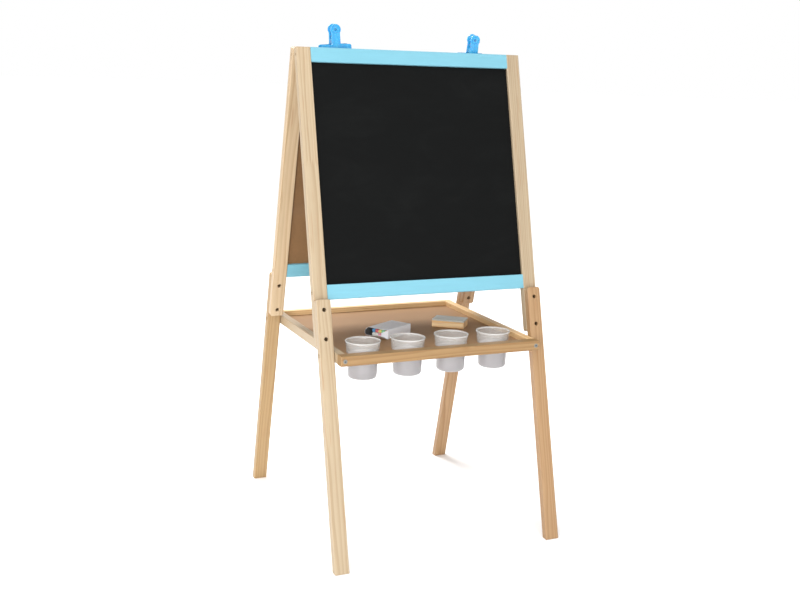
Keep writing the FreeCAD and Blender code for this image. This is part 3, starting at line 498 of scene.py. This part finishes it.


# ---- timber and painted parts ----------------------------------------------------------------

# The pale and the dark tone of each timber: partly the timbers' own tones, partly painted light and painted
# shade, as noted at each tone
PALE = ((178, 159, 131), (157, 133, 101))
SAND = ((171, 153, 127), (152, 129, 99))
HONEY = ((167, 138, 96), (146, 114, 74))
# Darker tone, partly the timber's own and partly painted shade: it goes on the right legs and the rear right
# post, which lie in shade
TAN_WITH_PAINTED_SHADE = ((166, 133, 96), (143, 107, 70))
TRAY = ((156, 123, 80), (130, 95, 53))
# Lightened as painted light: the eraser sits in the shade of the boards over the tray
STRIPED_WITH_PAINTED_LIGHT = ((255, 222, 172), (222, 160, 92))
# Lightened as painted light: it goes on the rear left post, which lies in the front post's shadow
WARM_WITH_PAINTED_LIGHT = ((192, 169, 137), (171, 143, 108))
# Lightened as painted light: it goes on the tray's back rail and right side rail, whose faces lie in shade
GOLDEN_WITH_PAINTED_LIGHT = ((236, 202, 152), (206, 160, 104))

FINGER_JOINT = 0.068        # height of the front left post's glued joint over its middle
TIMBER_TONES = {
    "front_post_left": PALE,
    "front_leg_left": PALE,
    "front_post_right": SAND,
    "front_leg_right": TAN_WITH_PAINTED_SHADE,
    "rear_post_left": WARM_WITH_PAINTED_LIGHT,
    "rear_leg_left": HONEY,
    "rear_post_right": TAN_WITH_PAINTED_SHADE,
    "rear_leg_right": TAN_WITH_PAINTED_SHADE,
}


def dress_timber():
    """A grain of its own for each post, leg and tray rail."""
    for seed, (node, (pale, dark)) in enumerate(TIMBER_TONES.items(), start=1):
        side = SIDES[node.split("_")[0]]
        middle = middle_of(node)
        joint = FINGER_JOINT if node == "front_post_left" else None
        dress(node, pine("pine_" + node, pale, dark, (side * LEAN, 0, 0), middle, seed, joint))
    rails = {
        "tray_front_rail": (TRAY, (0, QUARTER, 0)),
        "tray_back_rail": (GOLDEN_WITH_PAINTED_LIGHT, (0, QUARTER, 0)),
        "tray_side_rail_left": (PALE, (-QUARTER, 0, 0)),
        "tray_side_rail_right": (GOLDEN_WITH_PAINTED_LIGHT, (-QUARTER, 0, 0)),
    }
    for seed, (node, ((pale, dark), turn)) in enumerate(rails.items(), start=11):
        dress(node, pine("pine_" + node, pale, dark, turn, middle_of(node), seed))


def dress_frame():
    """Paint, panels, plastic and steel."""
    paint = blue_paint()
    steel = plated_steel("zinc", (122, 124, 126), (168, 168, 160))
    # A dark brown metal for the leg bolts, leg nuts and tray bolts, much darker than the zinc
    dark_metal = plated_steel("dark_brown_steel", (62, 52, 40), (104, 88, 66))
    for where in SIDES:
        for rail in ("top", "bottom"):
            dress(f"{where}_{rail}_rail", paint)
        for part in ("rail_screws", "hinge_leaves", "hinge_screws"):
            dress(f"{where}_{part}", steel)
        for part in ("leg_bolts", "leg_nuts", "tray_bolts"):
            dress(f"{where}_{part}", dark_metal)
    for node in ("hinge_pins", "tray_cap_screws", "tray_inserts"):
        dress(node, steel)
    dress("chalkboard", panel("chalkboard", "chalkboard", -1, chalkboard_face, 0.8, 0.5, 0.0, 0.12))
    dress("drawing_board", panel("drawing_board", "drawing_board", 1, white_face, 0.2, 0.03, 0.3, 0.5))
    dress("tray_floor", tray_board())
    plastic = clip_plastic()
    for hand in HANDS:
        for half in ("front", "rear"):
            dress(f"clip_{hand}_{half}_half", plastic)
        dress(f"clip_{hand}_pin", steel)
        dress(f"clip_{hand}_spring", steel)
    cup = frosted_plastic()
    for node in NODES:
        if node.startswith("paint_cup_"):
            dress(node, cup)


# ---- loose things on the tray ----------------------------------------------------------------

# Out of the chalk box's mouth, and towards its right wall as seen from the mouth
BOX_OUT = Vector(JOINTS["chalk_draw"]["axis"]).normalized()
BOX_RIGHT = UP.cross(BOX_OUT)

CHALK_COLOURS = {
    "blue": (98, 164, 214),
    "red": (226, 84, 92),
    "yellow": (238, 220, 128),
    "green": (112, 204, 148),
    "orange": (240, 160, 96),
    "pink": (238, 164, 188),
    "white": (240, 239, 234),
}
UPPER_ROW = ("blue", "red", "yellow", "green", "orange")
LOWER_ROW = ("white", "white", "pink", "white", "blue")


def band(ring, count):
    """The faces between one ring of points and the next."""
    start = ring * count
    faces = []
    for step in range(count):
        ahead = (step + 1) % count
        faces.append((start + step, start + ahead, start + count + ahead, start + count + step))
    return faces


def chalk_stick(name, points, material, body):
    """One stick round the same axis as its CAD solid, with worn ends and a slightly uneven skin."""
    along = [point.dot(BOX_OUT) for point in points]
    middle = sum(points, Vector()) / len(points)
    middle += BOX_OUT * ((min(along) + max(along)) / 2 - middle.dot(BOX_OUT))
    half = (max(along) - min(along)) / 2
    radius = max((point - middle - BOX_OUT * (point - middle).dot(BOX_OUT)).length for point in points)
    worn, hollow, pits = 1.1 * MM, 0.25 * MM, 0.12 * MM
    profile = []
    for step in range(6):
        angle = step / 5 * QUARTER
        profile.append((half - worn + worn * math.sin(angle), radius - worn + worn * math.cos(angle)))
    profile = [(-place, r) for place, r in reversed(profile)] + [
        (half * (2 * step / 14 - 1), radius) for step in range(2, 13)
    ] + profile
    around = 28
    side = BOX_OUT.cross(UP)
    vertices, faces = [], []
    for place, r in profile:
        for step in range(around):
            angle = 2 * math.pi * step / around
            spoke = side * math.cos(angle) + UP * math.sin(angle)
            point = middle + BOX_OUT * place + spoke * r
            rough = noise.noise(point * 420) * pits
            vertices.append(point - spoke * abs(rough))
    for ring in range(len(profile) - 1):
        faces += band(ring, around)
    for ring, end in ((0, -half), (len(profile) - 1, half)):
        vertices.append(middle + BOX_OUT * (end - math.copysign(hollow, end)))
        base = ring * around
        for step in range(around):
            ahead = (step + 1) % around
            corners = (base + step, base + ahead, len(vertices) - 1)
            faces.append(corners if end > 0 else corners[::-1])
    return piece_from(name, vertices, faces, material, body)


def make_chalks():
    """Every stick, in the colours of its row, from the left as seen from the box's mouth."""
    shades = {name: chalk("chalk_" + name, colour) for name, colour in CHALK_COLOURS.items()}
    sticks = []
    for node, body in (("free_chalks", "chalk_sticks"), ("held_chalks", "box_of_chalk")):
        for points in solids_of(node):
            sticks.append((sum(points, Vector()) / len(points), points, node, body))
    between_rows = sum(middle.z for middle, _, _, _ in sticks) / len(sticks)
    for row, colours in (("upper", UPPER_ROW), ("lower", LOWER_ROW)):
        in_row = [stick for stick in sticks if (stick[0].z > between_rows) == (row == "upper")]
        in_row.sort(key=lambda stick: stick[0].dot(BOX_RIGHT))
        for number, (colour, (_, points, node, body)) in enumerate(zip(colours, in_row), start=1):
            stick = chalk_stick(f"chalk_{row}_{number}", points, shades[colour], body)
            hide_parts(node)


def sheet(grid, thickness):
    """Vertices and faces of a thin closed sheet, from a grid of points on its middle surface."""
    rows, columns = len(grid), len(grid[0])
    outer, inner = [], []
    for i in range(rows):
        for j in range(columns):
            down = grid[min(i + 1, rows - 1)][j] - grid[max(i - 1, 0)][j]
            along = grid[i][min(j + 1, columns - 1)] - grid[i][max(j - 1, 0)]
            out = down.cross(along).normalized() * (thickness / 2)
            outer.append(grid[i][j] + out)
            inner.append(grid[i][j] - out)
    faces = []
    count = rows * columns
    for i in range(rows - 1):
        for j in range(columns - 1):
            a, b = i * columns + j, (i + 1) * columns + j
            faces.append((a, b, b + 1, a + 1))
            faces.append((count + a, count + a + 1, count + b + 1, count + b))
    rim = [i * columns for i in range(rows)] + [(rows - 1) * columns + j for j in range(1, columns)]
    rim += [i * columns + columns - 1 for i in range(rows - 2, -1, -1)] + list(range(columns - 2, 0, -1))
    for a, b in zip(rim, rim[1:] + rim[:1]):
        faces.append((a, count + a, count + b, b))
    return outer + inner, faces


def count_faces(grid):
    """How many faces sheet() makes of a grid."""
    rows, columns = len(grid), len(grid[0])
    return 2 * (rows - 1) * (columns - 1) + 2 * (rows + columns - 2)


def merged(sheets):
    """Several sheets as one list of vertices and one of faces."""
    vertices, faces = [], []
    for points, patches in sheets:
        start = len(vertices)
        vertices += points
        faces += [tuple(start + corner for corner in patch) for patch in patches]
    return vertices, faces


def make_card_box():
    """The chalk's box folded from card: soft creases, a bowed lid, a curled tuck flap and two side flaps."""
    card_thickness, flap_length, crease = 0.8 * MM, 20 * MM, 1.2 * MM
    right_reach, right_cut, right_opening = 18.5 * MM, 9 * MM, math.radians(9)
    left_reach, left_cut, left_opening = 13 * MM, 5 * MM, math.radians(80)
    left_foot_rise, lid_bow, end_gap = 8 * MM, 0.7 * MM, 0.2 * MM
    bowed_share, tuck_share = 0.96, 0.96
    tuck_inset, tuck_rounding, curl_height, curl_twist = 1 * MM, 7 * MM, 8.5 * MM, 2.5 * MM
    left, right = extent("chalk_box", BOX_RIGHT)
    back, tip = extent("chalk_box", BOX_OUT)
    floor, lid = extent("chalk_box", UP)
    mouth = tip - flap_length
    half_width = (right - left - card_thickness) / 2
    low, high = floor + card_thickness / 2, lid - card_thickness / 2
    centre = (left + right) / 2

    def at(across, out, up):
        return BOX_RIGHT * (centre + across) + BOX_OUT * out + UP * up

    outline = []
    corners = ((half_width, low, 3), (half_width, high, 0), (-half_width, high, 1), (-half_width, low, 2))
    for number, (x, z, quarter) in enumerate(corners):
        inward_x = x - math.copysign(crease, x)
        inward_z = z + (crease if z == low else -crease)
        for step in range(5):
            angle = (quarter + step / 4) * QUARTER
            outline.append((inward_x + crease * math.cos(angle), inward_z + crease * math.sin(angle)))
        if number == 1:
            for step in range(1, 8):
                share = step / 8
                bow = lid_bow * math.sin(math.pi * share)
                outline.append((half_width * (1 - 2 * share) * bowed_share, high - bow))
    outline.append(outline[0])
    depths = [back + (mouth - back) * step / 12 for step in range(13)]
    walls = [[at(x, depth, z) for depth in depths] for x, z in outline]
    inset = half_width - end_gap
    end_depth = back + card_thickness / 2
    end = [[at(inset * (step / 4 - 1), end_depth, z) for z in (low, high)] for step in range(9)]
    tuck = []
    for step in range(15):
        share = step / 14
        narrow = tuck_inset + tuck_rounding * max(0.0, share * 3 - 2) ** 2.2
        reach = half_width - narrow
        row = []
        for k in range(13):
            across = reach * (k / 6 - 1)
            curl = (curl_height + curl_twist * across / half_width) * share ** 1.4
            row.append(at(across, mouth + flap_length * share * tuck_share, low + curl))
        tuck.append(row)
    right_flap, left_flap = [], []
    for step in range(7):
        share = step / 6
        x = half_width - right_reach * share * math.cos(right_opening)
        out = mouth + right_reach * share * math.sin(right_opening)
        top = high - right_cut * share
        right_flap.append([at(x, out, low + (top - low) * k / 4) for k in range(5)])
        x = -half_width - left_reach * share * math.cos(left_opening)
        out = mouth + left_reach * share * math.sin(left_opening)
        top = high - left_cut * share
        foot = low + left_foot_rise * share
        left_flap.append([at(x, out, foot + (top - foot) * k / 4) for k in range(5)])
    grids = (walls, left_flap, end, right_flap, tuck)
    vertices, faces = merged([sheet(grid, card_thickness) for grid in grids])
    # The outer card's white is lifted above the card's own white as painted light against the shade of the
    # boards over the tray
    box = piece_from("card_box", vertices, faces, card("card", (236, 236, 240)), "box_of_chalk")
    # The inner faces of the walls and of the left flap are dark grey
    box.data.materials.append(card("card_inside", (74, 72, 70)))
    for face in box.data.polygons:
        inside = False
        if face.index < count_faces(walls) + count_faces(left_flap):
            to_middle = at(0, (back + mouth) / 2, (low + high) / 2) - face.center
            to_middle -= BOX_OUT * to_middle.dot(BOX_OUT)
            inside = face.normal.dot(to_middle.normalized()) > 0.5
        face.material_index = int(inside)
    box.data.set_sharp_from_angle(angle=math.radians(40))
    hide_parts("chalk_box")


def eraser_axes():
    """The middle of the felt's underside, and the eraser's length and width as vectors."""
    low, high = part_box("eraser_felt")
    base = [point for point in solids_of("eraser_felt")[0] if point.z < (low.z + high.z) / 2]
    corner = min(base, key=lambda point: point.x)
    _, width_way, length_way, _ = sorted((point - corner for point in base), key=lambda way: way.length)
    return corner + (width_way + length_way) / 2, length_way, width_way


def dress_eraser():
    """Striped wood with its grain along the eraser, its tones lightened as painted light."""
    centre, length_way, _ = eraser_axes()
    turn = (0, QUARTER, math.atan2(length_way.y, length_way.x))
    # The eraser's wood tones are lightened as painted light against the shade over the tray
    dress("eraser_block", pine("pine_eraser", *STRIPED_WITH_PAINTED_LIGHT, turn, centre, 17, rings=2.8 * MM))


def make_felt_pad():
    """The eraser's felt: rounded over, a little lumpy, with its cut edges fraying."""
    low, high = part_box("eraser_felt")
    centre, length_way, width_way = eraser_axes()
    half_length, half_width = length_way.length / 2, width_way.length / 2
    long_way, wide_way = length_way.normalized(), width_way.normalized()
    height, around = high.z - low.z, 26
    rounding, turn_radius, fraying, lumps = 1.2 * MM, 1.5 * MM, 0.44 * MM, 0.25 * MM
    outline = []
    for quarter, (x_sign, y_sign) in enumerate(((1, 1), (-1, 1), (-1, -1), (1, -1))):
        for step in range(5):
            angle = (quarter + step / 4) * QUARTER
            outline.append((
                x_sign * (half_length - turn_radius) + turn_radius * math.cos(angle),
                y_sign * (half_width - turn_radius) + turn_radius * math.sin(angle),
            ))
        lengthways = quarter % 2 == 0
        run = (half_length if lengthways else half_width) - turn_radius
        for step in range(1, around):
            share = 1 - 2 * step / around
            if lengthways:
                outline.append((x_sign * run * share, y_sign * half_width))
            else:
                outline.append((x_sign * half_length, y_sign * run * share))
    levels = [(0.0, height * share) for share in (0.0, 0.3, 0.6)]
    for step in range(5):
        angle = step / 4 * QUARTER
        levels.append((rounding * (1 - math.cos(angle)), height - rounding * (1 - math.sin(angle))))
    levels += [(inset * MM, height) for inset in (3, 5, 8, 12, 16, 20, 23.5)]
    vertices, faces = [], []
    for inset, up in levels:
        for x, y in outline:
            along = x * (1 - inset / half_length)
            across = y * (1 - inset / half_width)
            spot = centre + long_way * along + wide_way * across + UP * up
            fray = min(0.0, noise.noise(spot * 900) * fraying) if inset < rounding else 0.0
            lump = min(0.0, noise.noise(spot * 130) * lumps) if up > height * 0.9 else 0.0
            away = (long_way * (x / half_length) + wide_way * (y / half_width)).normalized()
            vertices.append(spot + away * fray + UP * lump)
    count = len(outline)
    for ring in range(len(levels) - 1):
        faces += band(ring, count)
    faces.append(tuple(range(count))[::-1])
    faces.append(tuple((len(levels) - 1) * count + step for step in range(count)))
    pad = piece_from("felt_pad", vertices, faces, felt(), "eraser")
    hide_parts("eraser_felt")


# ---- studio ----------------------------------------------------------------------------------

def place_light(name, data, place, aim):
    """Put a light in the scene, facing a point."""
    light = bpy.data.objects.new(name, data)
    light.location = place
    light.rotation_euler = (Vector(aim) - Vector(place)).to_track_quat("-Z", "Y").to_euler()
    bpy.context.scene.collection.objects.link(light)


def area_light(name, place, aim, size, power):
    """A square soft light."""
    data = bpy.data.lights.new(name, "AREA")
    data.size = size
    data.energy = power
    place_light(name, data, place, aim)


def sun_light(name, place, aim, spread, strength):
    """A distant light as wide as its spread in degrees, which lights the whole floor alike."""
    data = bpy.data.lights.new(name, "SUN")
    data.angle = math.radians(spread)
    data.energy = strength
    place_light(name, data, place, aim)


WORLD_LIGHT = 0.62           # how strongly the surroundings light the easel
WORLD_SEEN = 1.0             # how bright they look
FLOOR_RADIUS = 60.0
FLOOR_CORNERS = 96
FLOOR_DROP = 0.2 * MM        # of the floor below the feet


def make_studio():
    """Pale floor, white surroundings and large soft lights."""
    scene = bpy.context.scene
    scene.view_settings.view_transform = "Standard"
    middle = (cad_low + cad_high) / 2
    sun_light("overhead", (-1.2, -1.2, 3.6), middle, 50, 1.75)
    area_light("key", (-2.0, -3.2, 1.1), middle, 1.8, 100)
    area_light("back", (-0.4, 2.4, 3.4), middle, 1.6, 140)
    world = bpy.data.worlds.new("studio")
    scene.world = world
    world.use_nodes = True
    nodes = world.node_tree.nodes
    links = world.node_tree.links
    nodes.clear()
    output = nodes.new("ShaderNodeOutputWorld")
    background = nodes.new("ShaderNodeBackground")
    path = nodes.new("ShaderNodeLightPath")
    level = nodes.new("ShaderNodeMapRange")
    level.inputs[3].default_value = WORLD_LIGHT
    level.inputs[4].default_value = WORLD_SEEN
    links.new(path.outputs["Is Camera Ray"], level.inputs[0])
    links.new(level.outputs[0], background.inputs["Strength"])
    links.new(background.outputs[0], output.inputs["Surface"])
    background.inputs["Color"].default_value = (1, 1, 1, 1)

    ring = []
    for corner in range(FLOOR_CORNERS):
        angle = 2 * math.pi * corner / FLOOR_CORNERS
        ring.append((FLOOR_RADIUS * math.cos(angle), FLOOR_RADIUS * math.sin(angle), -FLOOR_DROP))
    mesh = bpy.data.meshes.new("floor")
    mesh.from_pydata(ring, [], [list(range(FLOOR_CORNERS))])
    mesh.materials.append(studio_floor())
    floor = bpy.data.objects.new("floor", mesh)
    scene.collection.objects.link(floor)


def make_camera():
    """Seen from the front left, from just below the height of the top rails."""
    yaw, pitch, roll = math.radians(25.61), math.radians(11.01), math.radians(1.94)
    forward = Vector((math.sin(yaw) * math.cos(pitch), math.cos(yaw) * math.cos(pitch), -math.sin(pitch)))
    level = Vector((math.cos(yaw), -math.sin(yaw), 0))
    upright = level.cross(forward)
    right = level * math.cos(roll) + upright * math.sin(roll)
    top = upright * math.cos(roll) - level * math.sin(roll)
    data = bpy.data.cameras.new("camera")
    data.sensor_width = 36.0
    data.lens = 50.7
    data.shift_x = -0.0515
    data.shift_y = -0.0154
    data.clip_end = 120
    camera = bpy.data.objects.new("camera", data)
    axes = Matrix((right, top, -forward)).transposed().to_4x4()
    camera.matrix_world = Matrix.Translation((-1.1298, -2.5858, 1.1404)) @ axes
    bpy.context.scene.collection.objects.link(camera)
    bpy.context.scene.camera = camera


# ---- everything ------------------------------------------------------------------------------

make_camera()
make_studio()
dress_timber()
dress_frame()
dress_eraser()
make_card_box()
make_felt_pad()
make_chalks()
